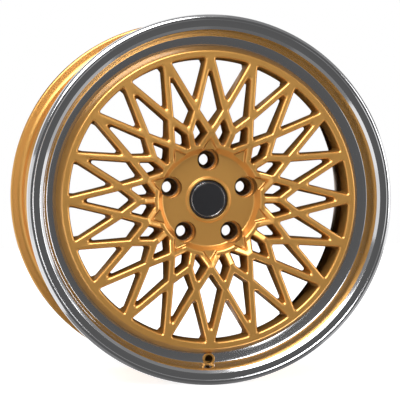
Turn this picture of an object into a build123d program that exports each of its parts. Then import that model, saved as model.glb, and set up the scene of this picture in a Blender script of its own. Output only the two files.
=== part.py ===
from build123d import *
import os
from math import cos, radians, sin, tan

# A modular forged mesh racing wheel, 19 by 8.5 inch, in millimetres.
# The axle lies along Y, the outer face looks towards -Y and +Z is up. The origin is on the axle,
# halfway across the rim. A depth is measured back from the frontmost edge of the outer flange.

# --- rim ---------------------------------------------------------------------------------------
bead_seat_radius = 241.3      # 19 inch nominal diameter
seat_width = 215.9            # 8.5 inch between the tyre sides of the two flanges
flange_thickness = 12.55      # each flange, from its tyre side to its outer face
flange_height = 17.5          # flange top above the bead seat
flange_fillet = 6.5           # between bead seat and flange
flange_round = 5.5            # outer corner of the flange
flange_face_drop = 1.0        # the flat flange face lies this far behind the crown of the edge
flange_face_width = 8.8       # the flat band of the flange face
flange_edge_width = 8.4       # the rounded edge outside that band
bead_seat_length = 20.5       # from the flange's tyre side to the hump
bead_seat_drop = 1.2          # the seat tapers by this much towards the hump
hump_height = 0.9             # hump above the tapered seat's low end
hump_width = 3.0

# --- outer lip ---------------------------------------------------------------------------------
lip_shoulder_drop = 5.3       # bead seat radius less the radius 8 mm behind the flange face
lip_shoulder_depth = 8.0
lip_wall_drop = 9.9           # bead seat radius less the radius at the foot of the polished wall
lip_wall_depth = 27.0
lip_floor_drop = 11.8         # bead seat radius less the radius at the outer edge of the floor
lip_floor_depth = 30.2
lip_floor_width = 13.2        # radial, from the wall's fillet to the centre's ring
landing_depth = 34.0          # the face that the centre's ring is bolted against
lip_flange_thickness = 6.0

# --- inner barrel ------------------------------------------------------------------------------
barrel_wall = 4.6
barrel_flange_thickness = 5.5
well_drop = 22.9              # bead seat radius less the outer radius of the drop centre
well_length = 38.0
well_ramp_length = 22.0
barrel_run_drop = 4.6         # bead seat radius less the outer radius of the long run
inner_seat_wall = 7.0

# --- centre ring and register --------------------------------------------------------------------
ring_clearance = 0.3          # between the ring's edge and the lip's floor
ring_flank = 7.3              # radial width of the ring's outer slope
ring_crown_width = 6.0
ring_inner_bevel = 4.0
ring_crown_depth = 17.0
register_wall = 5.3
register_length = 12.5        # how far the register reaches behind the landing
register_clearance = 0.1

# --- mesh spokes ---------------------------------------------------------------------------------
mesh_periods = 10
spoke_width = 9.4
cross_share = 0.4017          # of the way from the hub ring out to the mesh ring, for the main crossings
cross_half_angle = 9.3        # either side of a spoke pair's own axis
inner_cross_widths = 1.6      # hub ring to the inner crossing, in spoke widths
stub_widths = 2.18            # hub ring to the fork of each short stub, in spoke widths
inner_cross_depth = 10.5
cross_depth = 13.2
window_corner = 2.4
window_draft = 4.0            # degrees
window_start_depth = 6.0
spoke_back_depth = 37.8       # back of the spokes near the ring
spoke_back_width = 34.0       # window edge to the place where the spokes start to thicken
cross_back_depth = 42.0
root_back_depth = 52.0
gusset_depth = 23.0           # floor of the recess between two ridges
ridge_reach = 26.0            # how far a ridge runs on past its crossing
gusset_reach = 34.0           # how far the recess between two ridges runs out over the shoulder

# --- hub -----------------------------------------------------------------------------------------
bolt_count = 5
bolt_circle_radius = 56.0     # 112 mm pitch circle
pad_margin = 9.7              # flat pad outside the bolt circle
shoulder_run = 7.0
hub_ring_width = 6.3
pad_depth = 34.0
shoulder_depth = 21.6
hub_ring_depth = 20.6
mounting_depth = 80.0         # the face that meets the vehicle's hub, 40 mm offset
hub_foot_margin = 3.0         # hub ring radius less the radius of the mounting face
hub_edge_chamfer = 1.5
pocket_radius = 15.5
pocket_floor_depth = 51.0
seat_insert_radius = 13.0
seat_insert_depth = 54.6
seat_insert_length = 11.4
seat_mouth_radius = 12.2
stud_hole_radius = 7.75
seat_half_angle = 30.0
stud_hole_relief = 0.25       # the hub's own hole is wider than the insert's by this
press_gap = 0.05

centre_bore_radius = 36.55
centre_bore_length = 24.0
hub_nose_radius = 33.3        # 66.6 mm bore of the centring ring
centring_ring_length = 12.0
edge_break = 1.0

# --- centre cap ----------------------------------------------------------------------------------
cap_radius = 27.7
cap_mouth_clearance = 0.3
cap_seat_gap = 0.2            # between the cap's head and its seat in the hub
collar_width = 2.5
collar_bevel = 2.1
collar_depth = 31.8
cap_face_depth = 34.6
cap_head_thickness = 3.4
cap_bore_radius = 26.2
cap_skirt_clearance = 0.35
cap_skirt_wall = 2.2
cap_skirt_length = 13.0
cap_bevel = 1.3
cap_slot_count = 8
cap_slot_width = 4.0
bezel_radius = 24.2
bezel_width = 1.0
bezel_height = 1.4
badge_thickness = 1.0
badge_recess = 1.2
badge_clearance = 0.05
spring_wire_radius = 0.85
spring_ring_radius = 25.75
spring_ring_gap = 24.0        # degrees left open
spring_groove_length = 2.0
spring_setback = 8.0          # behind the cap's seat
spring_groove_depth = 0.9     # into the hub's bore

# --- assembly hardware -----------------------------------------------------------------------------
assembly_count = 20
assembly_inset = 7.0          # bolt circle outside the register
shank_radius = 3.5
shank_hole_clearance = 0.25
head_radius = 5.4
head_height = 7.0
head_socket_radius = 3.0
head_socket_depth = 3.5
washer_radius = 6.3
washer_thickness = 1.2
insert_radius = 4.5
insert_length = 9.5
insert_hole_length = 12.0
insert_thread_clearance = 0.05
bolt_grip = 8.0               # thread that each bolt has in its insert

# --- seal and valve hole ---------------------------------------------------------------------------
seal_width = 2.2
seal_height = 2.0
seal_side_gap = 0.1
seal_inset = 1.9              # seal's outer edge inside the barrel's well radius
valve_hole_radius = 5.65
valve_boss_radius = 8.6
valve_boss_clearance = 0.3
valve_boss_depth = 30.6
valve_hole_inset = 4.9        # outer edge of the lip's floor to the hole's centre

# --- derived places ----------------------------------------------------------------------------------
overall_width = seat_width + 2 * flange_thickness
rim_radius = bead_seat_radius + flange_height
flange_face_outer = rim_radius - flange_edge_width
flange_face_inner = flange_face_outer - flange_face_width
floor_outer = bead_seat_radius - lip_floor_drop
ring_radius = floor_outer - lip_floor_width
crown_outer = ring_radius - ring_flank
crown_inner = crown_outer - ring_crown_width
window_outer = crown_inner - ring_inner_bevel
register_radius = window_outer + 0.3
joint_depth = landing_depth + lip_flange_thickness
barrel_back_depth = joint_depth + barrel_flange_thickness
well_radius = bead_seat_radius - well_drop
assembly_radius = register_radius + assembly_inset
valve_radius = floor_outer - valve_hole_inset
pad_radius = bolt_circle_radius + pad_margin
shoulder_radius = pad_radius + shoulder_run
hub_radius = shoulder_radius + hub_ring_width
inner_cross_radius = hub_radius + inner_cross_widths * spoke_width
stub_fork_radius = hub_radius + stub_widths * spoke_width
cross_radius = hub_radius + cross_share * (window_outer - hub_radius)
cap_mouth_radius = cap_radius + cap_mouth_clearance
cap_head_depth = cap_face_depth + cap_head_thickness
cap_seat_depth = cap_head_depth + cap_seat_gap
bore_start_depth = mounting_depth - centre_bore_length
head_depth = barrel_back_depth + washer_thickness
spring_depth = cap_seat_depth + spring_setback


def section(points):
    """Turn (radius, depth) pairs into points of the plane that holds the axle."""
    return [(radius, depth - overall_width / 2) for radius, depth in points]


def face_plane(depth):
    """The plane across the axle at a depth, looking out of the wheel's face."""
    return Plane.XZ.offset(overall_width / 2 - depth)


def polar(radius, angle):
    """A point of the wheel's face, its angle in degrees from +X towards +Z."""
    return Vector(radius * cos(radians(angle)), radius * sin(radians(angle)))


def meet(first, second):
    """Where two lines cross, each given as a point and a direction."""
    (p, d), (q, e) = first, second
    along = ((q.X - p.X) * e.Y - (q.Y - p.Y) * e.X) / (d.X * e.Y - d.Y * e.X)
    return (p.X + d.X * along, p.Y + d.Y * along)


def inset(corners, gaps):
    """Move each side of an anticlockwise polygon inwards by its own gap."""
    sides = []
    for i, gap in enumerate(gaps):
        start, end = corners[i], corners[(i + 1) % len(corners)]
        run = (end - start).normalized()
        sides.append((start + Vector(-run.Y, run.X) * gap, run))
    return [meet(sides[i - 1], sides[i]) for i in range(len(sides))]


def window_outlines(gap):
    """The six windows around one inner crossing, with walls this far from the spoke centre lines."""
    ring_node = crown_outer - 2.5
    top, left_top, right_top = polar(ring_node, 90), polar(ring_node, 108), polar(ring_node, 72)
    left = polar(cross_radius, 90 + cross_half_angle)
    right = polar(cross_radius, 90 - cross_half_angle)
    far_left = polar(cross_radius, 126 - cross_half_angle)
    inner = polar(inner_cross_radius, 90)
    fork_left, fork_right = polar(stub_fork_radius, 108), polar(stub_fork_radius, 72)
    stub_end = hub_radius - hub_ring_width
    root_left, root_right = polar(stub_end, 108), polar(stub_end, 72)
    ridge_left = inner + (inner - right).normalized() * ridge_reach
    ridge_right = inner + (inner - left).normalized() * ridge_reach
    return [
        inset([left_top, left, top], [gap, gap, 0]),
        inset([top, right, right_top], [gap, gap, 0]),
        inset([top, left, inner, right], [gap] * 4),
        inset([left_top, far_left, fork_left, left], [gap] * 4),
        inset([left, fork_left, root_left, ridge_left, inner], [gap, gap, 0, gap, gap]),
        inset([right, inner, ridge_right, root_right, fork_right], [gap, gap, 0, gap, gap]),
    ]


def gusset_outline(gap):
    """The recess between the two ridges that run from an inner crossing to the hub."""
    inner = polar(inner_cross_radius, 90)
    left = polar(cross_radius, 90 + cross_half_angle)
    right = polar(cross_radius, 90 - cross_half_angle)
    end_left = inner + (inner - right).normalized() * gusset_reach
    end_right = inner + (inner - left).normalized() * gusset_reach
    return inset([inner, end_left, end_right], [gap, 0, gap])


def make_outer_lip():
    """The polished outer half of the rim: flange, bead seat, dished wall and bolting flange."""
    seat_start = flange_thickness + flange_fillet
    hump_start = flange_thickness + bead_seat_length
    low_seat = bead_seat_radius - bead_seat_drop
    wall_foot = bead_seat_radius - lip_wall_drop
    with BuildPart() as outer_lip:
        with BuildSketch(Plane.XY):
            with BuildLine():
                edge = section([
                    (flange_face_inner, flange_face_drop),
                    (flange_face_outer, flange_face_drop),
                    (flange_face_outer + 1, 0),
                    (rim_radius - flange_round, 0),
                ])
                Polyline(*edge)
                corner = section([
                    (rim_radius - flange_round, 0),
                    (rim_radius, flange_round),
                    (rim_radius, flange_thickness - 4),
                    (rim_radius - 4, flange_thickness),
                ])
                RadiusArc(corner[0], corner[1], -flange_round)
                Line(corner[1], corner[2])
                RadiusArc(corner[2], corner[3], -4)
                seat = section([
                    (rim_radius - 4, flange_thickness),
                    (bead_seat_radius + flange_fillet, flange_thickness),
                    (bead_seat_radius, seat_start),
                    (low_seat, hump_start),
                    (low_seat + hump_height, hump_start + hump_width / 2),
                    (low_seat, hump_start + hump_width),
                    (low_seat - 3, joint_depth),
                    (register_radius + register_clearance, joint_depth),
                    (register_radius + register_clearance, landing_depth),
                    (ring_radius + ring_clearance, landing_depth),
                    (ring_radius + ring_clearance, landing_depth - 0.5),
                    (floor_outer, lip_floor_depth),
                ])
                Line(seat[0], seat[1])
                RadiusArc(seat[1], seat[2], flange_fillet)
                Polyline(*seat[2:])
                dish = section([
                    (floor_outer, lip_floor_depth),
                    (wall_foot, lip_wall_depth),
                    (bead_seat_radius - lip_shoulder_drop, lip_shoulder_depth),
                    (flange_face_inner, flange_face_drop),
                ])
                Spline(
                    *dish,
                    tangents=[(1, -0.35), (0.75, -1)],
                )
            make_face()
        revolve(axis=Axis.Y)
        with BuildSketch(face_plane(0)):
            with Locations(polar(valve_radius, -90)):
                Circle(valve_boss_radius + valve_boss_clearance)
        extrude(amount=-landing_depth, mode=Mode.SUBTRACT)
        with BuildSketch(face_plane(0)):
            with Locations(polar(valve_radius, -90)):
                Circle(valve_hole_radius)
            with PolarLocations(assembly_radius, assembly_count):
                Circle(shank_radius + shank_hole_clearance)
        extrude(amount=-joint_depth - 1, mode=Mode.SUBTRACT)
        seal_outer = well_radius - seal_inset
        with BuildSketch(face_plane(joint_depth)):
            Circle(seal_outer + seal_side_gap)
            Circle(seal_outer - seal_width - seal_side_gap, mode=Mode.SUBTRACT)
        extrude(amount=seal_height, mode=Mode.SUBTRACT)
    return outer_lip.part


def make_inner_barrel():
    """The inner half of the rim: bolting flange, drop centre, long run, bead seat and flange."""
    tyre_side = overall_width - flange_thickness
    low_seat = bead_seat_radius - bead_seat_drop
    run_radius = bead_seat_radius - barrel_run_drop
    run_start = joint_depth + well_length + well_ramp_length
    hump_end = tyre_side - bead_seat_length
    hump_start = hump_end - hump_width
    seat_bore = bead_seat_radius - inner_seat_wall
    with BuildPart() as inner_barrel:
        with BuildSketch(Plane.XY):
            with BuildLine():
                outside = section([
                    (register_radius + register_clearance, joint_depth),
                    (well_radius, joint_depth),
                    (well_radius, joint_depth + well_length),
                    (run_radius, run_start),
                    (run_radius, hump_start - 6),
                    (low_seat, hump_start),
                    (low_seat + hump_height, hump_start + hump_width / 2),
                    (low_seat, hump_end),
                    (bead_seat_radius, tyre_side - flange_fillet),
                    (bead_seat_radius + flange_fillet, tyre_side),
                    (rim_radius - 4, tyre_side),
                    (rim_radius, tyre_side + 4),
                    (rim_radius, overall_width - flange_round),
                    (rim_radius - flange_round, overall_width),
                ])
                Polyline(*outside[:9])
                RadiusArc(outside[8], outside[9], flange_fillet)
                Line(outside[9], outside[10])
                RadiusArc(outside[10], outside[11], -4)
                Line(outside[11], outside[12])
                RadiusArc(outside[12], outside[13], -flange_round)
                inside = section([
                    (rim_radius - flange_round, overall_width),
                    (flange_face_inner + 3, overall_width),
                    (seat_bore + 1.5, tyre_side - 1),
                    (seat_bore, tyre_side - 8),
                    (run_radius - barrel_wall + 0.5, hump_start - 2),
                    (run_radius - barrel_wall, hump_start - 10),
                    (run_radius - barrel_wall, run_start + 2),
                    (well_radius - barrel_wall, joint_depth + well_length + 2),
                    (well_radius - barrel_wall, barrel_back_depth),
                    (register_radius + register_clearance, barrel_back_depth),
                    (register_radius + register_clearance, joint_depth),
                ])
                Polyline(*inside)
            make_face()
        revolve(axis=Axis.Y)
        with BuildSketch(face_plane(joint_depth - 1)):
            with PolarLocations(assembly_radius, assembly_count):
                Circle(shank_radius + shank_hole_clearance)
        extrude(amount=-barrel_flange_thickness - 2, mode=Mode.SUBTRACT)
    return inner_barrel.part


def make_mesh_centre():
    """The forged centre: bolted ring, crossed mesh spokes, hub with bolt pockets and cap bore."""
    foot_radius = hub_radius - hub_foot_margin
    front = [
        (cap_mouth_radius, collar_depth),
        (cap_mouth_radius + collar_width, collar_depth),
        (cap_mouth_radius + collar_width + collar_bevel, pad_depth),
        (pad_radius, pad_depth),
        (shoulder_radius, shoulder_depth),
        (shoulder_radius + 2, hub_ring_depth),
        (hub_radius, hub_ring_depth),
        (inner_cross_radius, inner_cross_depth),
        (cross_radius, cross_depth),
        (crown_inner, ring_crown_depth),
        (crown_outer, ring_crown_depth),
        (ring_radius, landing_depth - 0.5),
        (ring_radius, landing_depth),
    ]
    register_end = landing_depth + register_length
    back = [
        (register_radius, landing_depth),
        (register_radius, register_end),
        (register_radius - register_wall, register_end),
        (register_radius - register_wall - 3, spoke_back_depth),
        (window_outer - spoke_back_width, spoke_back_depth),
        (cross_radius, cross_back_depth),
        (inner_cross_radius, root_back_depth),
        (hub_radius + 3, mounting_depth - 18),
        (foot_radius + hub_edge_chamfer, mounting_depth - hub_edge_chamfer),
        (foot_radius, mounting_depth),
        (centre_bore_radius + edge_break, mounting_depth),
        (centre_bore_radius, mounting_depth - edge_break),
        (centre_bore_radius, bore_start_depth),
        (cap_bore_radius, bore_start_depth),
        (cap_bore_radius, spring_depth + spring_groove_length / 2),
        (cap_bore_radius + spring_groove_depth, spring_depth + spring_groove_length / 2),
        (cap_bore_radius + spring_groove_depth, spring_depth - spring_groove_length / 2),
        (cap_bore_radius, spring_depth - spring_groove_length / 2),
        (cap_bore_radius, cap_seat_depth),
        (cap_mouth_radius, cap_seat_depth),
    ]
    wall_gap = spoke_width / 2 - tan(radians(window_draft)) * (cross_depth - window_start_depth)
    with BuildSketch() as windows:
        for outline in window_outlines(wall_gap):
            Polygon(*outline, align=None)
        Circle(window_outer, mode=Mode.INTERSECT)
        Circle(hub_radius, mode=Mode.SUBTRACT)
        fillet(windows.vertices(), window_corner)
    with BuildPart() as mesh_centre:
        with BuildSketch(Plane.XY):
            with BuildLine():
                Polyline(*section(front + back), close=True)
            make_face()
        revolve(axis=Axis.Y)
        with BuildSketch(face_plane(valve_boss_depth)):
            with Locations(polar(valve_radius, -90)):
                Circle(valve_boss_radius)
        extrude(amount=valve_boss_depth - landing_depth)
        with BuildSketch(face_plane(window_start_depth)):
            with PolarLocations(0, mesh_periods):
                add(windows.sketch)
        extrude(amount=-register_end - hub_radius, taper=window_draft, mode=Mode.SUBTRACT)
        with BuildSketch(face_plane(window_start_depth)):
            with PolarLocations(0, mesh_periods):
                Polygon(*gusset_outline(spoke_width / 2), align=None)
        extrude(amount=window_start_depth - gusset_depth, mode=Mode.SUBTRACT)
        with BuildSketch(face_plane(0)):
            with PolarLocations(bolt_circle_radius, bolt_count, start_angle=90):
                Circle(pocket_radius)
        extrude(amount=-pocket_floor_depth, mode=Mode.SUBTRACT)
        with BuildSketch(face_plane(0)):
            with PolarLocations(bolt_circle_radius, bolt_count, start_angle=90):
                Circle(seat_insert_radius)
        extrude(amount=-seat_insert_depth - seat_insert_length, mode=Mode.SUBTRACT)
        with BuildSketch(face_plane(0)):
            with PolarLocations(bolt_circle_radius, bolt_count, start_angle=90):
                Circle(stud_hole_radius + stud_hole_relief)
            with Locations(polar(valve_radius, -90)):
                Circle(valve_hole_radius)
        extrude(amount=-mounting_depth - 1, mode=Mode.SUBTRACT)
        with BuildSketch(face_plane(landing_depth)):
            with PolarLocations(assembly_radius, assembly_count):
                Circle(insert_radius + press_gap)
        extrude(amount=insert_hole_length, mode=Mode.SUBTRACT)
    return mesh_centre.part


def make_bolt_seat(angle):
    """One steel insert with the conical seat that a wheel bolt tightens on."""
    mouth_depth = seat_insert_depth + 0.6
    cone_length = (seat_mouth_radius - stud_hole_radius) / tan(radians(seat_half_angle))
    end_depth = seat_insert_depth + seat_insert_length
    place = polar(bolt_circle_radius, angle)
    with BuildPart() as bolt_seat:
        with BuildSketch(face_plane(seat_insert_depth)):
            with Locations(place):
                Circle(seat_insert_radius - press_gap)
                Circle(stud_hole_radius, mode=Mode.SUBTRACT)
        extrude(amount=seat_insert_depth - end_depth)
        with BuildSketch(face_plane(seat_insert_depth)):
            with Locations(place):
                Circle(seat_mouth_radius)
        extrude(amount=seat_insert_depth - mouth_depth, mode=Mode.SUBTRACT)
        with BuildSketch(face_plane(mouth_depth)):
            with Locations(place):
                Circle(seat_mouth_radius)
        with BuildSketch(face_plane(mouth_depth + cone_length)):
            with Locations(place):
                Circle(stud_hole_radius)
        loft(mode=Mode.SUBTRACT)
    return bolt_seat.part


def make_ring(inner, outer, start, end, radii_at=None):
    """Plain rings between two depths, one on the axle or a row of them on their own circle."""
    with BuildPart() as ring:
        with BuildSketch(face_plane(start)):
            with PolarLocations(*(radii_at or (0, 1))):
                Circle(outer)
                Circle(inner, mode=Mode.SUBTRACT)
        extrude(amount=start - end)
    return ring.part


def make_hub_centring_ring():
    """The ring that fits the wheel's bore to the vehicle's hub nose, with a lead at its mouth."""
    start = mounting_depth - centring_ring_length
    outer = centre_bore_radius - press_gap
    with BuildPart() as hub_centring_ring:
        with BuildSketch(Plane.XY):
            with BuildLine():
                outline = section([
                    (hub_nose_radius, start),
                    (outer - edge_break, start),
                    (outer, start + edge_break),
                    (outer, mounting_depth - 2 * edge_break),
                    (outer - edge_break, mounting_depth - edge_break),
                    (hub_nose_radius, mounting_depth - edge_break),
                ])
                Polyline(*outline, close=True)
            make_face()
        revolve(axis=Axis.Y)
    return hub_centring_ring.part


def make_assembly_bolts():
    """The cap screws that clamp lip and barrel to the centre from behind."""
    bolt_end = landing_depth - bolt_grip
    with BuildPart() as assembly_bolts:
        with BuildSketch(face_plane(bolt_end)):
            with PolarLocations(assembly_radius, assembly_count):
                Circle(shank_radius)
        extrude(amount=bolt_end - head_depth)
        with BuildSketch(face_plane(head_depth)):
            with PolarLocations(assembly_radius, assembly_count):
                Circle(head_radius)
        extrude(amount=-head_height)
        with BuildSketch(face_plane(head_depth + head_height)):
            with PolarLocations(assembly_radius, assembly_count):
                RegularPolygon(head_socket_radius, 6)
        extrude(amount=head_socket_depth, mode=Mode.SUBTRACT)
    return assembly_bolts.part


def make_cap_shell():
    """The black cap: a bevelled head with a recess for its badge, and a slotted skirt behind."""
    skirt_radius = cap_bore_radius - cap_skirt_clearance
    skirt_end = cap_head_depth + cap_skirt_length
    groove_floor = spring_ring_radius - spring_wire_radius - 0.15
    groove_start = spring_depth - spring_groove_length / 2
    groove_end = spring_depth + spring_groove_length / 2
    inner = skirt_radius - cap_skirt_wall
    with BuildPart() as cap_shell:
        with BuildSketch(Plane.XY):
            with BuildLine():
                outline = section([
                    (0, cap_face_depth + badge_recess),
                    (bezel_radius, cap_face_depth + badge_recess),
                    (bezel_radius, cap_face_depth),
                    (cap_radius - cap_bevel, cap_face_depth),
                    (cap_radius, cap_face_depth + cap_bevel),
                    (cap_radius, cap_head_depth),
                    (skirt_radius, cap_head_depth),
                    (skirt_radius, groove_start),
                    (groove_floor, groove_start),
                    (groove_floor, groove_end),
                    (skirt_radius, groove_end),
                    (skirt_radius, skirt_end - 1.5),
                    (skirt_radius - 1, skirt_end),
                    (inner, skirt_end),
                    (inner, cap_head_depth),
                    (0, cap_head_depth),
                ])
                Polyline(*outline, close=True)
            make_face()
        revolve(axis=Axis.Y)
        with BuildSketch(face_plane(skirt_end)):
            with PolarLocations(skirt_radius, cap_slot_count):
                Rectangle(4 * cap_skirt_wall, cap_slot_width)
        extrude(amount=cap_skirt_length - 2, mode=Mode.SUBTRACT)
    return cap_shell.part


def make_cap_spring_ring():
    """The open wire ring that snaps from the cap's groove into the hub's bore."""
    with BuildPart() as cap_spring_ring:
        with BuildSketch(Plane.XY):
            with Locations(section([(spring_ring_radius, spring_depth)])[0]):
                Circle(spring_wire_radius)
        revolve(axis=Axis.Y, revolution_arc=360 - spring_ring_gap)
    return cap_spring_ring.part


def write_part(name, part):
    """Label one piece and write its STEP file."""
    part.label = name
    export_step(part, f"parts/{name}.step")


os.makedirs("parts", exist_ok=True)

write_part("outer_lip", make_outer_lip())
write_part("inner_barrel", make_inner_barrel())
write_part("mesh_centre", make_mesh_centre())
for i in range(bolt_count):
    write_part(f"bolt_seat_{i + 1}", make_bolt_seat(90 + i * 360 / bolt_count))

seal_outer = well_radius - seal_inset
write_part(
    "rim_seal_ring",
    make_ring(seal_outer - seal_width, seal_outer, joint_depth - seal_height, joint_depth),
)
on_assembly_circle = (assembly_radius, assembly_count)
write_part("assembly_bolts", make_assembly_bolts())
write_part(
    "assembly_washers",
    make_ring(shank_radius + 0.2, washer_radius, barrel_back_depth, head_depth, on_assembly_circle),
)
write_part(
    "thread_inserts",
    make_ring(
        shank_radius + insert_thread_clearance,
        insert_radius,
        landing_depth - insert_length,
        landing_depth,
        on_assembly_circle,
    ),
)
write_part("hub_centring_ring", make_hub_centring_ring())
write_part("cap_shell", make_cap_shell())
badge_back = cap_face_depth + badge_recess
write_part(
    "cap_bezel",
    make_ring(
        bezel_radius - bezel_width,
        bezel_radius - badge_clearance,
        badge_back - bezel_height,
        badge_back,
    ),
)
with BuildPart() as cap_badge:
    with BuildSketch(face_plane(badge_back - badge_thickness)):
        Circle(bezel_radius - bezel_width - badge_clearance)
    extrude(amount=-badge_thickness)
write_part("cap_badge", cap_badge.part)
write_part("cap_spring_ring", make_cap_spring_ring())
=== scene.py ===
from math import cos, hypot, pi, radians, sin, tan

import bmesh
import bpy
import numpy as np
from mathutils import Matrix, Vector


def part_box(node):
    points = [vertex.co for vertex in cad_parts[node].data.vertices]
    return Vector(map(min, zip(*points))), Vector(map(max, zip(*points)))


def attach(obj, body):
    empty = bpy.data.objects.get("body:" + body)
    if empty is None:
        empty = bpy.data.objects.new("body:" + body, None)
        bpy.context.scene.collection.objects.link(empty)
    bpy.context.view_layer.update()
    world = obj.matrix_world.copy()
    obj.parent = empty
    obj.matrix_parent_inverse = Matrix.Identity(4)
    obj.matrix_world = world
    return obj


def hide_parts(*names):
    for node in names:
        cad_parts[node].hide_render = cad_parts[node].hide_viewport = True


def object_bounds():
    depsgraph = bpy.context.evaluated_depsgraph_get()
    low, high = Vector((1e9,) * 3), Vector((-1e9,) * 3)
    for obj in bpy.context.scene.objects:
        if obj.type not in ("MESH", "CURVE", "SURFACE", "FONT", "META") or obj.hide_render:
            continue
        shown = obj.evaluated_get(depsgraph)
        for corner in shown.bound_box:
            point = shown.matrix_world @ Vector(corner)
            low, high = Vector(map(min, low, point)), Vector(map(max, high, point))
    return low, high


# Looks of a modular forged mesh racing wheel. The axle lies along Y, the outer face looks towards
# -Y and +Z is up. Shapes are given in millimetres as (radius, depth), a depth being measured back
# from the frontmost edge of the outer flange, and are turned into metres when a mesh is made.

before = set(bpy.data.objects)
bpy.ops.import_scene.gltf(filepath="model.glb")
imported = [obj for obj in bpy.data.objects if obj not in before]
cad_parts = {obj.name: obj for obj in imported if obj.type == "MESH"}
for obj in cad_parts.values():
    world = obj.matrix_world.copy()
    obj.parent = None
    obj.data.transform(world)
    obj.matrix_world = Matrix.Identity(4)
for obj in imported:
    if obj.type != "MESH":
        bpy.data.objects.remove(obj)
start_low, start_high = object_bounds()

MM = 0.001
front_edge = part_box("outer_lip")[0].y / MM

# --- sizes that several shapes share ---------------------------------------------------------------
mesh_periods = 10
cross_radius = 127.2
cross_half_angle = 9.3
inner_cross_radius = 94.04
stub_fork_radius = 99.5
crown_outer = 209.0
window_outer = 199.0
hub_radius = 79.0
hub_band = 6.3
bolt_circle = 56.0
bolt_angles = [90 + 72 * i for i in range(5)]
assembly_radius = 206.3
assembly_count = 20
valve_radius = 224.6
wall_draft = 4.0              # degrees
wall_gap = 4.7                # a spoke's centre line to its wall
window_corner = 2.4
ridge_length = 26
recess_length = 34
recess_tip = 0.9
# How a spoke's front edge rounds over into its wall: (distance from the centre line, depth below the face).
edge_levels = [(1.9, -3.0), (1.9, 0.0), (2.6, 0.25), (3.3, 0.75), (4.0, 1.6), (4.5, 2.7), (4.7, 4.0)]
# The foot of the walls of the recess between two ridges: (distance from the centre line, depth).
recess_levels = [(4.9, 20.2), (5.3, 22.15), (6.2, 22.75)]


# --- shape helpers -----------------------------------------------------------------------------------
def depth_to_y(depth):
    """Where a depth lies along the axle, in metres."""
    return (front_edge + depth) * MM


def rounded(outline):
    """Replace the corners of an outline that carry a third number by arcs that start so far from them."""
    points = [np.array(p[:2], float) for p in outline]
    rounds = [p[2] if len(p) > 2 else 0 for p in outline]
    count = len(points)
    result = []
    for i, here in enumerate(points):
        if not rounds[i]:
            result.append(here)
            continue
        before, after = points[i - 1] - here, points[(i + 1) % count] - here
        reach = min(rounds[i], 0.49 * np.linalg.norm(before), 0.49 * np.linalg.norm(after))
        first = here + before / np.linalg.norm(before) * reach
        last = here + after / np.linalg.norm(after) * reach
        weight = max(0.05, np.linalg.norm(last - first) / (2 * reach))
        for t in np.linspace(0, 1, 6):
            a, b, c = (1 - t) ** 2, 2 * t * (1 - t) * weight, t * t
            result.append((a * first + b * here + c * last) / (a + b + c))
    return result


def new_object(name, mesh):
    piece = bpy.data.objects.new(name, mesh)
    bpy.context.scene.collection.objects.link(piece)
    return piece


def face_outwards(mesh):
    """Turn every face of a closed mesh outwards."""
    work = bmesh.new()
    work.from_mesh(mesh)
    bmesh.ops.recalc_face_normals(work, faces=work.faces)
    work.to_mesh(mesh)
    work.free()


def lathe(name, outline, steps=128, centre=(0, 0), sweep=360):
    """A solid turned from a closed (radius, depth) outline, about the axle or about another place."""
    outline = rounded(outline)
    full = sweep == 360
    rings = steps if full else steps + 1
    angles = np.radians(sweep) * np.arange(rings) / steps
    vertices, columns = [], []
    for radius, depth in outline:
        y = depth_to_y(depth)
        if radius < 1e-6:
            columns.append([len(vertices)] * rings)
            vertices.append((centre[0] * MM, y, centre[1] * MM))
            continue
        columns.append(list(range(len(vertices), len(vertices) + rings)))
        for angle in angles:
            x, z = centre[0] + radius * cos(angle), centre[1] + radius * sin(angle)
            vertices.append((x * MM, y, z * MM))
    faces = []
    for i, here in enumerate(columns):
        there = columns[(i + 1) % len(columns)]
        if len(set(here)) == 1 and len(set(there)) == 1:
            continue
        for j in range(steps):
            k = (j + 1) % rings
            corners = [here[j], here[k], there[k], there[j]]
            faces.append([c for n, c in enumerate(corners) if c not in corners[:n]])
    if not full:
        faces.append([column[0] for column in columns])
        faces.append([column[-1] for column in columns][::-1])
    mesh = bpy.data.meshes.new(name)
    mesh.from_pydata(vertices, [], faces)
    face_outwards(mesh)
    return new_object(name, mesh)


def pin(radius, start, end, centre=(0, 0), steps=48):
    """A plain round bar along the axle."""
    return lathe("pin", [(0, start), (radius, start), (radius, end), (0, end)], steps, centre)


def stacked(name, loops):
    """A solid skinned over loops of (x, z, depth) points, each with the same number of points."""
    vertices, faces = [], []
    size = len(loops[0])
    for loop in loops:
        vertices += [(x * MM, depth_to_y(depth), z * MM) for x, z, depth in loop]
    for i in range(len(loops) - 1):
        for j in range(size):
            k = (j + 1) % size
            faces.append([i * size + j, i * size + k, (i + 1) * size + k, (i + 1) * size + j])
    for first in (0, (len(loops) - 1) * size):
        middle = len(vertices)
        vertices.append(tuple(np.mean(vertices[first:first + size], axis=0)))
        faces += [[first + j, first + (j + 1) % size, middle] for j in range(size)]
    mesh = bpy.data.meshes.new(name)
    mesh.from_pydata(vertices, [], faces)
    face_outwards(mesh)
    return new_object(name, mesh)


def settle(piece):
    """Turn an object's modifiers into its mesh."""
    result = piece.evaluated_get(bpy.context.evaluated_depsgraph_get())
    mesh = bpy.data.meshes.new_from_object(result)
    piece.modifiers.clear()
    piece.data = mesh


def combine(piece, tool, operation="DIFFERENCE"):
    """Cut a solid out of a piece, or join it on, and drop the tool."""
    step = piece.modifiers.new("combine", "BOOLEAN")
    step.object, step.operation, step.solver = tool, operation, "MANIFOLD"
    settle(piece)
    bpy.data.objects.remove(tool)


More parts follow.
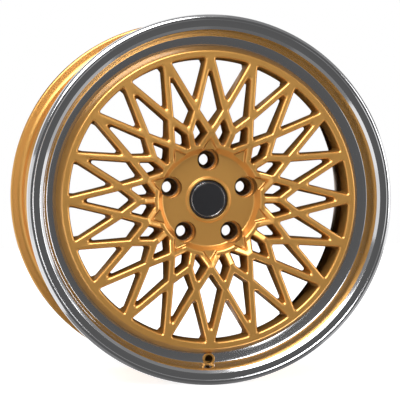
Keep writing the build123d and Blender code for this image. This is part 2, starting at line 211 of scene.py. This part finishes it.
def join(pieces, name):
    """Put solids that do not touch into one object."""
    work = bmesh.new()
    for piece in pieces:
        work.from_mesh(piece.data)
    mesh = bpy.data.meshes.new(name)
    work.to_mesh(mesh)
    work.free()
    for piece in pieces:
        bpy.data.objects.remove(piece)
    return new_object(name, mesh)


def make_repeat_tree():
    """Geometry nodes that repeat what comes in about the axle, evenly, and give it a material."""
    tree = bpy.data.node_groups.new("repeat_about_axle", "GeometryNodeTree")
    tree.interface.new_socket("Piece", in_out="INPUT", socket_type="NodeSocketGeometry")
    tree.interface.new_socket("Count", in_out="INPUT", socket_type="NodeSocketInt")
    tree.interface.new_socket("Finish", in_out="INPUT", socket_type="NodeSocketMaterial")
    tree.interface.new_socket("Ring", in_out="OUTPUT", socket_type="NodeSocketGeometry")
    add, link = tree.nodes.new, tree.links.new
    given, result = add("NodeGroupInput"), add("NodeGroupOutput")
    places = add("GeometryNodeMeshLine")
    places.inputs["Offset"].default_value = (0, 0, 0)
    link(given.outputs["Count"], places.inputs["Count"])
    index = add("GeometryNodeInputIndex")
    share, turn = add("ShaderNodeMath"), add("ShaderNodeMath")
    share.operation, turn.operation = "DIVIDE", "MULTIPLY"
    link(index.outputs[0], share.inputs[0])
    link(given.outputs["Count"], share.inputs[1])
    link(share.outputs[0], turn.inputs[0])
    turn.inputs[1].default_value = 2 * pi
    rotation = add("ShaderNodeCombineXYZ")
    link(turn.outputs[0], rotation.inputs["Y"])
    copies = add("GeometryNodeInstanceOnPoints")
    link(places.outputs["Mesh"], copies.inputs["Points"])
    link(given.outputs["Piece"], copies.inputs["Instance"])
    link(rotation.outputs[0], copies.inputs["Rotation"])
    real = add("GeometryNodeRealizeInstances")
    link(copies.outputs["Instances"], real.inputs["Geometry"])
    finish = add("GeometryNodeSetMaterial")
    link(real.outputs["Geometry"], finish.inputs["Geometry"])
    link(given.outputs["Finish"], finish.inputs["Material"])
    link(finish.outputs["Geometry"], result.inputs["Ring"])
    return tree


repeat_tree = make_repeat_tree()


def repeat(piece, count, material=None):
    """Repeat a piece about the axle."""
    step = piece.modifiers.new("repeat", "NODES")
    step.node_group = repeat_tree
    named = {s.name: s.identifier for s in repeat_tree.interface.items_tree if s.in_out == "INPUT"}
    step[named["Count"]] = count
    step[named["Finish"]] = material
    settle(piece)
    return piece


def smooth(piece, angle=32):
    """Shade a piece smooth, with its real corners kept crisp."""
    mesh = piece.data
    mesh.polygons.foreach_set("use_smooth", [True] * len(mesh.polygons))
    mesh.set_sharp_from_angle(angle=radians(angle))


def show(piece, material, body, slot, *nodes):
    """Dress a piece, hang it on its body and let it stand for its CAD nodes."""
    piece.data.materials.clear()
    piece.data.materials.append(material)
    smooth(piece)
    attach(piece, body)
    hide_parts(*nodes)


# --- shader helpers -----------------------------------------------------------------------------------
def make_group(name, inputs, outputs):
    """A shader node group with named number sockets."""
    group = bpy.data.node_groups.new(name, "ShaderNodeTree")
    for label, value in inputs.items():
        socket = group.interface.new_socket(label, in_out="INPUT", socket_type="NodeSocketFloat")
        socket.default_value = value
    for label in outputs:
        group.interface.new_socket(label, in_out="OUTPUT", socket_type="NodeSocketFloat")
    return group, group.nodes.new("NodeGroupInput"), group.nodes.new("NodeGroupOutput")


def math_node(group, operation, first, second=None):
    """A math node fed by sockets or plain numbers."""
    node = group.nodes.new("ShaderNodeMath")
    node.operation = operation
    for i, value in enumerate((first, second)):
        if isinstance(value, (int, float)):
            node.inputs[i].default_value = value
        elif value is not None:
            group.links.new(value, node.inputs[i])
    return node.outputs[0]


def make_turned_lines():
    """Fine lines left by a lathe: noise that changes only with the distance from a spindle and along it."""
    group, given, result = make_group(
        "turned_lines", {"Lines": 2500.0, "Sideways": 0.0, "Upwards": 0.0}, ("Line", "Band"))
    place = group.nodes.new("ShaderNodeTexCoord")
    split = group.nodes.new("ShaderNodeSeparateXYZ")
    group.links.new(place.outputs["Object"], split.inputs[0])
    across = math_node(group, "SUBTRACT", split.outputs["X"], given.outputs["Sideways"])
    up = math_node(group, "SUBTRACT", split.outputs["Z"], given.outputs["Upwards"])
    square = math_node(group, "ADD", math_node(group, "MULTIPLY", across, across),
                       math_node(group, "MULTIPLY", up, up))
    travel = math_node(group, "ADD", math_node(group, "SQRT", square), split.outputs["Y"])
    for label, rate in (("Line", 1.0), ("Band", 0.05)):
        noise = group.nodes.new("ShaderNodeTexNoise")
        noise.noise_dimensions = "1D"
        noise.inputs["Scale"].default_value = 1.0
        noise.inputs["Detail"].default_value = 3.0
        pace = math_node(group, "MULTIPLY", given.outputs["Lines"], rate)
        group.links.new(math_node(group, "MULTIPLY", travel, pace), noise.inputs["W"])
        group.links.new(noise.outputs["Fac"], result.inputs[label])
    return group


def make_surface_grain():
    """Grain of a coated or cast surface: fine speckle and slow, large unevenness."""
    group, given, result = make_group(
        "surface_grain", {"Fine": 2600.0, "Slow": 14.0}, ("Speckle", "Cloud"))
    place = group.nodes.new("ShaderNodeTexCoord")
    for label, rate, detail in (("Speckle", "Fine", 2.0), ("Cloud", "Slow", 4.0)):
        noise = group.nodes.new("ShaderNodeTexNoise")
        noise.inputs["Detail"].default_value = detail
        group.links.new(place.outputs["Object"], noise.inputs["Vector"])
        group.links.new(given.outputs[rate], noise.inputs["Scale"])
        group.links.new(noise.outputs["Fac"], result.inputs[label])
    return group


turned_lines = make_turned_lines()
surface_grain = make_surface_grain()


def make_material(name, group, light, dark, rough, metallic, shade_by, mark_by, settings=None,
                  bump=0.02, bump_size=0.00002, coat=0.0):
    """A metal, paint or plastic whose colour, roughness and relief follow one of the shared groups."""
    material = bpy.data.materials.new(name)
    material.use_nodes = True
    tree = material.node_tree
    surface = tree.nodes["Principled BSDF"]
    pattern = tree.nodes.new("ShaderNodeGroup")
    pattern.node_tree = group
    for label, value in (settings or {}).items():
        pattern.inputs[label].default_value = value
    colour = tree.nodes.new("ShaderNodeMix")
    colour.data_type = "RGBA"
    colour.inputs[6].default_value = (*dark, 1)
    colour.inputs[7].default_value = (*light, 1)
    tree.links.new(pattern.outputs[shade_by], colour.inputs[0])
    tree.links.new(colour.outputs[2], surface.inputs["Base Color"])
    spread = tree.nodes.new("ShaderNodeMapRange")
    spread.inputs["To Min"].default_value = rough[0]
    spread.inputs["To Max"].default_value = rough[1]
    tree.links.new(pattern.outputs[mark_by], spread.inputs["Value"])
    tree.links.new(spread.outputs["Result"], surface.inputs["Roughness"])
    relief = tree.nodes.new("ShaderNodeBump")
    relief.inputs["Strength"].default_value = bump
    relief.inputs["Distance"].default_value = bump_size
    tree.links.new(pattern.outputs[mark_by], relief.inputs["Height"])
    tree.links.new(relief.outputs["Normal"], surface.inputs["Normal"])
    surface.inputs["Metallic"].default_value = metallic
    surface.inputs["Coat Weight"].default_value = coat
    surface.inputs["Coat Roughness"].default_value = 0.12
    return material


gold_paint = make_material(
    "gold_paint", surface_grain, (0.76, 0.40, 0.105), (0.66, 0.33, 0.080), (0.27, 0.38), 0.80,
    "Cloud", "Speckle", bump=0.05, coat=0.40)
polished_aluminium = make_material(
    "polished_aluminium", turned_lines, (0.90, 0.90, 0.91), (0.80, 0.80, 0.82), (0.06, 0.16), 1.0,
    "Band", "Line", bump=0.05)
plated_steel = make_material(
    "plated_steel", surface_grain, (0.50, 0.49, 0.47), (0.38, 0.37, 0.36), (0.25, 0.42), 1.0,
    "Cloud", "Speckle", bump=0.10)
bare_steel = make_material(
    "bare_steel", surface_grain, (0.62, 0.60, 0.58), (0.50, 0.49, 0.47), (0.22, 0.38), 1.0,
    "Cloud", "Speckle", bump=0.08)
black_gloss = make_material(
    "black_gloss", surface_grain, (0.016, 0.016, 0.018), (0.009, 0.009, 0.010), (0.10, 0.18), 0.0,
    "Cloud", "Speckle", bump=0.03, coat=0.6)
bright_trim = make_material(
    "bright_trim", turned_lines, (0.86, 0.86, 0.88), (0.76, 0.76, 0.78), (0.05, 0.14), 1.0,
    "Band", "Line", bump=0.04)
seal_rubber = make_material(
    "seal_rubber", surface_grain, (0.035, 0.035, 0.035), (0.022, 0.022, 0.022), (0.60, 0.80), 0.0,
    "Cloud", "Speckle", bump=0.3)
ring_plastic = make_material(
    "ring_plastic", surface_grain, (0.060, 0.060, 0.066), (0.042, 0.042, 0.046), (0.38, 0.52), 0.0,
    "Cloud", "Speckle", bump=0.2)


# --- outline of the mesh --------------------------------------------------------------------------------
def polar(radius, angle):
    """A point of the wheel's face, its angle in degrees from +X towards +Z."""
    return np.array([radius * cos(radians(angle)), radius * sin(radians(angle))])


def window_corners():
    """The six windows around one inner crossing: corners, and which sides are spokes' walls."""
    top, left_top, right_top = (polar(crown_outer - 2.5, a) for a in (90, 108, 72))
    left, right = polar(cross_radius, 90 + cross_half_angle), polar(cross_radius, 90 - cross_half_angle)
    far_left = polar(cross_radius, 126 - cross_half_angle)
    inner = polar(inner_cross_radius, 90)
    fork_left, fork_right = polar(stub_fork_radius, 108), polar(stub_fork_radius, 72)
    root_left, root_right = polar(hub_radius - hub_band, 108), polar(hub_radius - hub_band, 72)
    ridge_left = inner + (inner - right) / np.linalg.norm(inner - right) * ridge_length
    ridge_right = inner + (inner - left) / np.linalg.norm(inner - left) * ridge_length
    return [
        ([left_top, left, top], [1, 1, 0]),
        ([top, right, right_top], [1, 1, 0]),
        ([top, left, inner, right], [1] * 4),
        ([left_top, far_left, fork_left, left], [1] * 4),
        ([left, fork_left, root_left, ridge_left, inner], [1, 1, 0, 1, 1]),
        ([right, inner, ridge_right, root_right, fork_right], [1, 1, 0, 1, 1]),
    ]


def face_depth(radius):
    """Depth of the mesh's front face at a radius."""
    return float(np.interp(
        radius,
        [72.7, 74.7, hub_radius, inner_cross_radius, cross_radius, 203, crown_outer],
        [21.6, 20.6, 20.6, 10.5, 13.2, 17, 17]))


def first_hits(corners, walls, gap, outer, inner, middle, directions):
    """How far rays from the middle run before they meet a wall or one of the two circles."""
    reach = np.full(len(directions), 1e9)
    for i, wall in enumerate(walls):
        start, end = corners[i], corners[(i + 1) % len(corners)]
        run = (end - start) / np.linalg.norm(end - start)
        normal = np.array([-run[1], run[0]])
        room = np.dot(middle - start, normal) - gap * wall
        closing = -directions @ normal
        reach = np.where(closing > 1e-9, np.minimum(reach, room / np.maximum(closing, 1e-9)), reach)
    along = directions @ middle
    for radius, far in ((outer, True), (inner, False)):
        under = along ** 2 - middle @ middle + radius ** 2
        root = np.sqrt(np.maximum(under, 0))
        hit = -along + root if far else -along - root
        reach = np.where((under > 0) & (hit > 0), np.minimum(reach, hit), reach)
    return reach


def distance_to_loop(points, loop):
    """Distance from points to a closed loop of segments."""
    start, run = loop, np.roll(loop, -1, axis=0) - loop
    rel = points[:, None, :] - start[None]
    along = np.clip((rel * run).sum(-1) / np.maximum((run ** 2).sum(-1), 1e-12), 0, 1)
    return np.linalg.norm(rel - along[..., None] * run, axis=-1).min(axis=1)


def window_loop(corners, walls, gap, corner_radius, middle, angles, hub_share=0.5):
    """One level of a window: its walls this far from the spokes' centre lines, its corners rounded."""
    outer = window_outer - (gap - wall_gap)
    inner = hub_radius + hub_share * (gap - wall_gap)
    probe = np.linspace(0, 2 * pi, 720, endpoint=False)
    probe = np.stack([np.cos(probe), np.sin(probe)], axis=1)
    clear = first_hits(corners, walls, gap, outer, inner, middle, probe).min()
    size = max(0.15, min(corner_radius, clear - 0.4))
    core = first_hits(corners, walls, gap + size, outer - size, inner + size, middle, probe)
    core = middle + probe * np.maximum(core, 0.05)[:, None]
    directions = np.stack([np.cos(angles), np.sin(angles)], axis=1)
    high = first_hits(corners, walls, gap, outer, inner, middle, directions)
    inside = first_hits(corners, walls, gap + size, outer - size, inner + size, middle, directions)
    low = np.minimum(np.maximum(inside, 0), high)
    for _ in range(22):
        half = (low + high) / 2
        away = distance_to_loop(middle + directions * half[:, None], core)
        near = away <= size
        low, high = np.where(near, half, low), np.where(near, high, half)
    return middle + directions * low[:, None]


def best_middle(corners, walls):
    """The roomiest point inside a window."""
    corners = np.array(corners)
    low, high = corners.min(axis=0), corners.max(axis=0)
    best, place = -1e9, None
    for x in np.linspace(low[0], high[0], 60):
        for z in np.linspace(low[1], high[1], 60):
            point = np.array([x, z])
            room = min(window_outer - hypot(x, z), hypot(x, z) - hub_radius)
            for i, wall in enumerate(walls):
                start, end = corners[i], corners[(i + 1) % len(corners)]
                run = (end - start) / np.linalg.norm(end - start)
                room = min(room, np.dot(point - start, [-run[1], run[0]]) - wall_gap * wall)
            if room > best:
                best, place = room, point
    return place


def even_angles(corners, walls, middle, count):
    """Directions from the middle that space a window's points by length and by turn."""
    probe = np.linspace(0, 2 * pi, 1440, endpoint=False)
    loop = window_loop(corners, walls, wall_gap, window_corner, middle, probe)
    step = np.roll(loop, -1, axis=0) - loop
    heading = np.unwrap(np.arctan2(step[:, 1], step[:, 0]))
    turn = np.abs(np.roll(heading, -1) - heading)
    turn[-1] = turn[-2]
    effort = np.linalg.norm(step, axis=1) / np.linalg.norm(step, axis=1).sum()
    effort = effort + 1.6 * np.minimum(turn, 0.2) / np.minimum(turn, 0.2).sum()
    total = np.concatenate([[0], np.cumsum(effort)])
    wanted = np.linspace(0, total[-1], count, endpoint=False)
    return np.interp(wanted, total, np.append(probe, 2 * pi))


def window_cutter(corners, walls, through, points):
    """A tool for one window: a rounded front edge that follows the face, then a drafted wall."""
    middle = best_middle(corners, walls)
    angles = even_angles(corners, walls, middle, points)
    loops = []
    for gap, below in edge_levels:
        corner = window_corner + 0.6 * (wall_gap - gap)
        loop = window_loop(corners, walls, gap, corner, middle, angles)
        loops.append([(x, z, face_depth(hypot(x, z)) + below) for x, z in loop])
    loops[0] = [(x, z, 2.0) for x, z, depth in loops[0]]
    for depth in (27, 38, through):
        gap = wall_gap + tan(radians(wall_draft)) * (depth - 17)
        loop = window_loop(corners, walls, gap, window_corner, middle, angles, hub_share=1.0)
        loops.append([(x, z, depth) for x, z in loop])
    return stacked("window", loops)


def recess_loop(end, run, gap, depth_at):
    """One level of the recess between two ridges: a long triangle with a small blunt tip."""
    tip_z = inner_cross_radius - gap / abs(run[0])
    half_width = abs(end[0]) - gap / abs(run[1])
    side = []
    for share in np.linspace(0, 1, 12):
        x = -recess_tip - (half_width - recess_tip) * (1 - share)
        side.append((x, end[1] + (tip_z - recess_tip - end[1]) * share))
    tip = [(-0.45, tip_z - 0.75), (0, tip_z - 0.6), (0.45, tip_z - 0.75)]
    outline = side + tip + [(-x, z) for x, z in reversed(side)]
    return [(x, z, depth_at(hypot(x, z))) for x, z in outline]


def recess_cutter():
    """A tool for the sloping recess between the two ridges that run from an inner crossing to the hub."""
    inner = polar(inner_cross_radius, 90)
    right = polar(cross_radius, 90 - cross_half_angle)
    run = (inner - right) / np.linalg.norm(inner - right)
    end = inner + run * recess_length
    loops = []
    for gap, below in edge_levels:
        loops.append(recess_loop(end, run, gap, lambda radius: face_depth(max(radius, 76)) + below))
    for gap, floor in recess_levels:
        loops.append(recess_loop(end, run, gap, lambda radius: floor + 0.10 * max(0, 90 - radius)))
    loops[0] = [(x, z, 4.0) for x, z, depth in loops[0]]
    return stacked("recess", loops)


# --- mesh centre -------------------------------------------------------------------------------------------
def build_mesh_centre():
    """The forged centre: ring, crossed spokes, hub with deep bolt pockets, cap bore and valve boss."""
    centre = lathe("mesh_centre_looks", [
        (28.0, 31.8, 0.4), (30.5, 31.8, 0.7), (32.6, 34.0, 0.5),
        (65.7, 34.0, 1.6), (72.7, 21.6, 0.8), (74.7, 20.6, 0.4), (79.0, 20.6, 1.0),
        (94.04, 10.5, 3.0), (127.2, 13.2, 4.0), (165.0, 15.1), (203.0, 17.0, 2.0),
        (209.0, 17.0, 1.8), (216.3, 33.5, 0.2), (216.3, 34.0),
        (199.3, 34.0), (199.3, 46.5, 0.8), (194.0, 46.5, 1.5), (191.0, 37.8, 2.0),
        (165.0, 37.8, 3.0), (127.2, 42.0, 4.0), (94.0, 52.0, 4.0), (82.0, 62.0, 3.0),
        (77.5, 78.5, 0.6), (76.0, 80.0), (37.55, 80.0), (36.55, 79.0), (36.55, 56.0),
        (26.2, 56.0), (26.2, 47.2), (27.1, 47.2), (27.1, 45.2), (26.2, 45.2), (26.2, 38.2),
        (28.0, 38.2),
    ], 270)
    cutters = []
    for i, (corners, walls) in enumerate(window_corners()):
        cutters.append(window_cutter(corners, walls, 66.0 if i > 2 else 56.0, 84))
    windows = repeat(join(cutters, "windows"), mesh_periods)
    combine(centre, windows)
    combine(centre, repeat(recess_cutter(), mesh_periods))
    pocket = lathe("pocket", [
        (0, 2), (15.5, 2), (15.5, 51.0, 0.5), (13.0, 51.0), (13.0, 66.0), (8.0, 66.0), (8.0, 84.0),
        (0, 84.0)], 96, centre=(0, bolt_circle))
    combine(centre, repeat(pocket, len(bolt_angles)))
    boss = lathe("boss", [(0, 30.6), (8.6, 30.6, 0.9), (8.6, 34.0), (0, 34.0)], 72,
                 centre=(0, -valve_radius))
    combine(centre, boss, "UNION")
    combine(centre, pin(5.65, 20, 40, (0, -valve_radius), 64))
    combine(centre, repeat(pin(4.55, 22, 40, (assembly_radius, 0), 24), assembly_count))
    return centre


def build_outer_lip():
    """The polished outer half of the rim."""
    wall = [(237.4, 4.0), (236.0, 8.0), (234.6, 13.0), (233.5, 18.0), (232.5, 23.0)]
    lip = lathe("outer_lip_looks", [
        (241.6, 1.0, 0.5), (250.4, 1.0, 0.3), (251.4, 0.0, 0.5), (254.6, 0.0, 2.2), (257.6, 2.4, 1.8),
        (258.8, 6.0, 1.2), (258.8, 10.6, 2.0), (256.8, 12.55, 1.4), (247.8, 12.55, 2.0),
        (243.2, 14.4, 2.0), (241.3, 19.05, 2.0), (240.1, 33.05, 0.5), (241.0, 34.55, 0.8),
        (240.1, 36.05, 0.5), (237.1, 40.0), (199.4, 40.0), (199.4, 34.0), (216.6, 34.0),
        (216.6, 33.5, 0.1), (221.0, 32.4), (225.5, 31.2), (229.8, 30.1, 1.6), (231.5, 27.4, 1.4),
    ] + wall[::-1], 720)
    combine(lip, pin(8.9, 20, 34, (0, -valve_radius), 64))
    holes = repeat(pin(3.75, 30, 42, (assembly_radius, 0), 24), assembly_count)
    combine(lip, holes)
    combine(lip, pin(5.65, 30, 44, (0, -valve_radius), 64))
    return lip


def build_inner_barrel():
    """The inner half of the rim: bolting flange, drop centre, long run, bead seat and flange."""
    barrel = lathe("inner_barrel_looks", [
        (199.4, 40.0), (218.4, 40.0), (218.4, 78.0, 4.0), (236.7, 100.0, 4.0), (236.7, 198.9, 2.0),
        (240.1, 204.95, 0.6), (241.0, 206.45, 0.8), (240.1, 207.95, 0.6), (241.3, 221.95, 2.0),
        (243.2, 226.6, 2.0), (247.8, 228.45, 2.0), (256.8, 228.45, 1.4), (258.8, 230.4, 2.0),
        (258.8, 235.0, 1.2), (257.6, 238.6, 1.8), (254.6, 241.0, 2.2), (244.6, 241.0, 0.6),
        (235.8, 227.45, 2.0), (234.3, 220.45, 2.0), (232.6, 202.95, 2.0), (232.1, 194.95, 2.0),
        (232.1, 102.0, 4.0), (213.8, 80.0, 4.0), (213.8, 45.5, 0.8), (199.4, 45.5),
    ], 300)
    combine(barrel, repeat(pin(3.75, 38, 48, (assembly_radius, 0), 24), assembly_count))
    return barrel


def build_bolt_seat(i):
    """A steel insert with its conical seat."""
    return lathe(f"bolt_seat_{i + 1}_looks", [
        (12.2, 54.6), (12.95, 54.6, 0.2), (12.95, 66.0), (7.75, 66.0), (7.75, 62.91, 0.3), (12.2, 55.2)],
        96, centre=tuple(polar(bolt_circle, bolt_angles[i])))


def build_cap_shell():
    """The black cap: bevelled head, recess for the badge and a skirt cut into eight fingers."""
    shell = lathe("cap_shell_looks", [
        (0, 35.8), (24.2, 35.8), (24.2, 34.6, 0.15), (26.4, 34.6, 0.8), (27.7, 35.9, 0.6),
        (27.7, 38.0), (25.85, 38.0), (25.85, 45.2), (24.75, 45.2), (24.75, 47.2), (25.85, 47.2),
        (25.85, 49.5), (24.85, 51.0), (23.65, 51.0), (23.65, 38.0), (0, 38.0)], 160)
    slot = stacked("slot", [
        [(20, -2, depth), (30, -2, depth), (30, 2, depth), (20, 2, depth)] for depth in (40, 55)])
    combine(shell, repeat(slot, 8))
    return shell


def build_assembly_bolts():
    """The twenty socket cap screws behind the barrel's flange."""
    bolt = lathe("assembly_bolts_looks", [
        (0, 26.0), (3.0, 26.0), (3.5, 26.6), (3.5, 46.7), (5.4, 46.7), (5.4, 53.7, 0.5), (0, 53.7)],
        32, centre=(assembly_radius, 0))
    combine(bolt, pin(3.0, 50.2, 56, (assembly_radius, 0), 6))
    return repeat(bolt, assembly_count, plated_steel)


show(build_mesh_centre(), gold_paint, "wheel", "gold_paint", "mesh_centre")
show(build_outer_lip(), polished_aluminium, "wheel", "polished_aluminium", "outer_lip")
show(build_inner_barrel(), gold_paint, "wheel", "gold_paint", "inner_barrel")
for i, angle in enumerate(bolt_angles):
    spindle = polar(bolt_circle, angle) * MM
    seat_metal = make_material(
        f"seat_metal_{i + 1}", turned_lines, (0.56, 0.54, 0.50), (0.40, 0.38, 0.35), (0.20, 0.38), 1.0,
        "Band", "Line", {"Sideways": float(spindle[0]), "Upwards": float(spindle[1])}, bump=0.15)
    show(build_bolt_seat(i), seat_metal, "wheel", "bare_steel", f"bolt_seat_{i + 1}")
show(build_cap_shell(), black_gloss, "cap", "black_gloss", "cap_shell")
show(lathe("cap_bezel_looks", [
    (23.2, 34.4, 0.25), (24.15, 34.4, 0.25), (24.15, 35.8), (23.2, 35.8)], 160),
    bright_trim, "cap", "bright_trim", "cap_bezel")
show(lathe("cap_badge_looks", [(0, 34.8), (22.4, 34.8, 0.4), (23.15, 35.2), (23.15, 35.8), (0, 35.8)], 128),
     black_gloss, "cap", "black_gloss", "cap_badge")
show(lathe("hub_centring_ring_looks", [
    (33.3, 68.0, 0.3), (35.5, 68.0), (36.5, 69.0), (36.5, 78.0), (35.5, 79.0), (33.3, 79.0, 0.3)], 128),
    ring_plastic, "wheel", "ring_plastic", "hub_centring_ring")
show(build_assembly_bolts(), plated_steel, "wheel", "plated_steel", "assembly_bolts")
show(repeat(lathe("assembly_washers_looks", [
    (3.7, 45.5), (6.3, 45.5, 0.2), (6.3, 46.7, 0.2), (3.7, 46.7)], 32, centre=(assembly_radius, 0)),
    assembly_count, plated_steel), plated_steel, "wheel", "plated_steel", "assembly_washers")
for node, material in (("rim_seal_ring", seal_rubber), ("thread_inserts", bare_steel),
                       ("cap_spring_ring", bare_steel)):
    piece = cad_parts[node]
    piece.data.materials.clear()
    piece.data.materials.append(material)


# --- studio ---------------------------------------------------------------------------------------------------
def soft_light(name, place, aim, size, power, tint=(1, 1, 1)):
    """A soft rectangular studio light."""
    data = bpy.data.lights.new(name, "AREA")
    data.shape, data.size, data.size_y = "RECTANGLE", size[0], size[1]
    data.energy, data.color = power, tint
    light = bpy.data.objects.new(name, data)
    light.matrix_world = look_at(place, aim)
    bpy.context.scene.collection.objects.link(light)


def look_at(place, aim):
    """The placing of something that looks from one point to another, upright."""
    back = (Vector(place) - Vector(aim)).normalized()
    right = Vector((0, 0, 1)).cross(back).normalized()
    up = back.cross(right)
    turn = Matrix((right, up, back)).transposed().to_4x4()
    return Matrix.Translation(place) @ turn


def glow_material(name, strength):
    """A board's own even grey or white."""
    material = bpy.data.materials.new(name)
    material.use_nodes = True
    surface = material.node_tree.nodes["Principled BSDF"]
    surface.inputs["Base Color"].default_value = (0, 0, 0, 1)
    surface.inputs["Specular IOR Level"].default_value = 0.0
    surface.inputs["Emission Color"].default_value = (1, 1, 1, 1)
    surface.inputs["Emission Strength"].default_value = strength
    return material


def hide_board(board, blocks=False):
    """Keep a board out of the camera's sight, and let it hold back light only when it should."""
    board.visible_camera = False
    board.visible_diffuse = blocks
    board.visible_shadow = blocks


def card(name, place, aim, size, strength, blocks=False):
    """A flat board that shows in reflections."""
    mesh = bpy.data.meshes.new(name)
    w, h = size[0] / 2, size[1] / 2
    mesh.from_pydata([(-w, -h, 0), (w, -h, 0), (w, h, 0), (-w, h, 0)], [], [(0, 1, 2, 3)])
    board = new_object(name, mesh)
    board.matrix_world = look_at(place, aim)
    mesh.materials.append(glow_material(name, strength))
    hide_board(board, blocks)


def tunnel(name, radius, start, end, shades):
    """Boards in a ring about the axle, given their own greys from +X round by +Z."""
    for i, strength in enumerate(shades):
        low, high = (radians(360 * (i + k) / len(shades)) for k in (-0.5, 0.5))
        corners = [(cos(a) * radius, y, sin(a) * radius) for a, y in
                   ((low, start), (high, start), (high, end), (low, end))]
        mesh = bpy.data.meshes.new(f"{name}_{i + 1}")
        mesh.from_pydata(corners, [], [(0, 1, 2, 3)])
        mesh.materials.append(glow_material(f"{name}_{i + 1}", strength))
        hide_board(new_object(f"{name}_{i + 1}", mesh))


def make_floor():
    """A plain pale floor that the wheel stands on, lost in the white background behind it."""
    mesh = bpy.data.meshes.new("floor")
    level = start_low.z
    mesh.from_pydata([(-3, -4, level), (3, -4, level), (3, 3, level), (-3, 3, level)], [], [(0, 1, 2, 3)])
    floor = new_object("floor", mesh)
    material = bpy.data.materials.new("floor")
    material.use_nodes = True
    surface = material.node_tree.nodes["Principled BSDF"]
    surface.inputs["Base Color"].default_value = (0.93, 0.93, 0.93, 1)
    surface.inputs["Roughness"].default_value = 0.9
    surface.inputs["Emission Color"].default_value = (1, 1, 1, 1)
    surface.inputs["Emission Strength"].default_value = 0.8
    mesh.materials.append(material)
    floor.visible_glossy = False


def make_world():
    """White to the camera and to reflections, softer as a light."""
    world = bpy.data.worlds.new("studio")
    bpy.context.scene.world = world
    world.use_nodes = True
    tree = world.node_tree
    paths = tree.nodes.new("ShaderNodeLightPath")
    direct = math_node(tree, "MAXIMUM", paths.outputs["Is Camera Ray"], paths.outputs["Is Transmission Ray"])
    direct = math_node(tree, "MAXIMUM", direct, paths.outputs["Is Glossy Ray"])
    backdrop = tree.nodes["Background"]
    backdrop.inputs["Color"].default_value = (1, 1, 1, 1)
    tree.links.new(math_node(tree, "ADD", math_node(tree, "MULTIPLY", direct, 0.70), 0.30),
                   backdrop.inputs["Strength"])


make_world()
make_floor()
soft_light("key", (-0.9, -1.5, 2.2), (0, 0, 0), (2.2, 1.6), 64)
soft_light("front_soft", (-0.8, -2.6, 1.9), (0, 0, 0), (2.4, 1.6), 50)
soft_light("fill", (2.3, -1.6, 0.5), (0, 0, 0), (0.9, 1.6), 14)
card("grey_front", (0.0, -3.6, 0.0), (0, 0, 0), (7.0, 7.0), 0.10)
card("dark_behind", (0, 0.135, 0), (0, -1, 0), (0.46, 0.46), 0.0, blocks=True)
card("dark_below", (0, 0, -0.246), (0, 0.02, 0), (0.12, 0.17), 0.0, blocks=True)
tunnel("side", 3.3, -3.6, 2.4, [0.9, 0.25, 0.22, 0.35, 0.30, 0.22, 0.75, 0.9, 0.22, 0.14, 0.18, 0.45])

camera_data = bpy.data.cameras.new("camera")
camera_data.sensor_width, camera_data.lens = 36, 173.87
camera = bpy.data.objects.new("camera", camera_data)
camera_turn = Matrix(((0.98076, 0.00721, -0.19508), (-0.19521, 0.03621, -0.98009), (0.0, 0.99932, 0.03692)))
camera.matrix_world = Matrix.Translation((-0.54173, -2.74801, 0.09978)) @ camera_turn.to_4x4()
bpy.context.scene.collection.objects.link(camera)
bpy.context.scene.camera = camera
bpy.context.scene.view_settings.view_transform = "Standard"
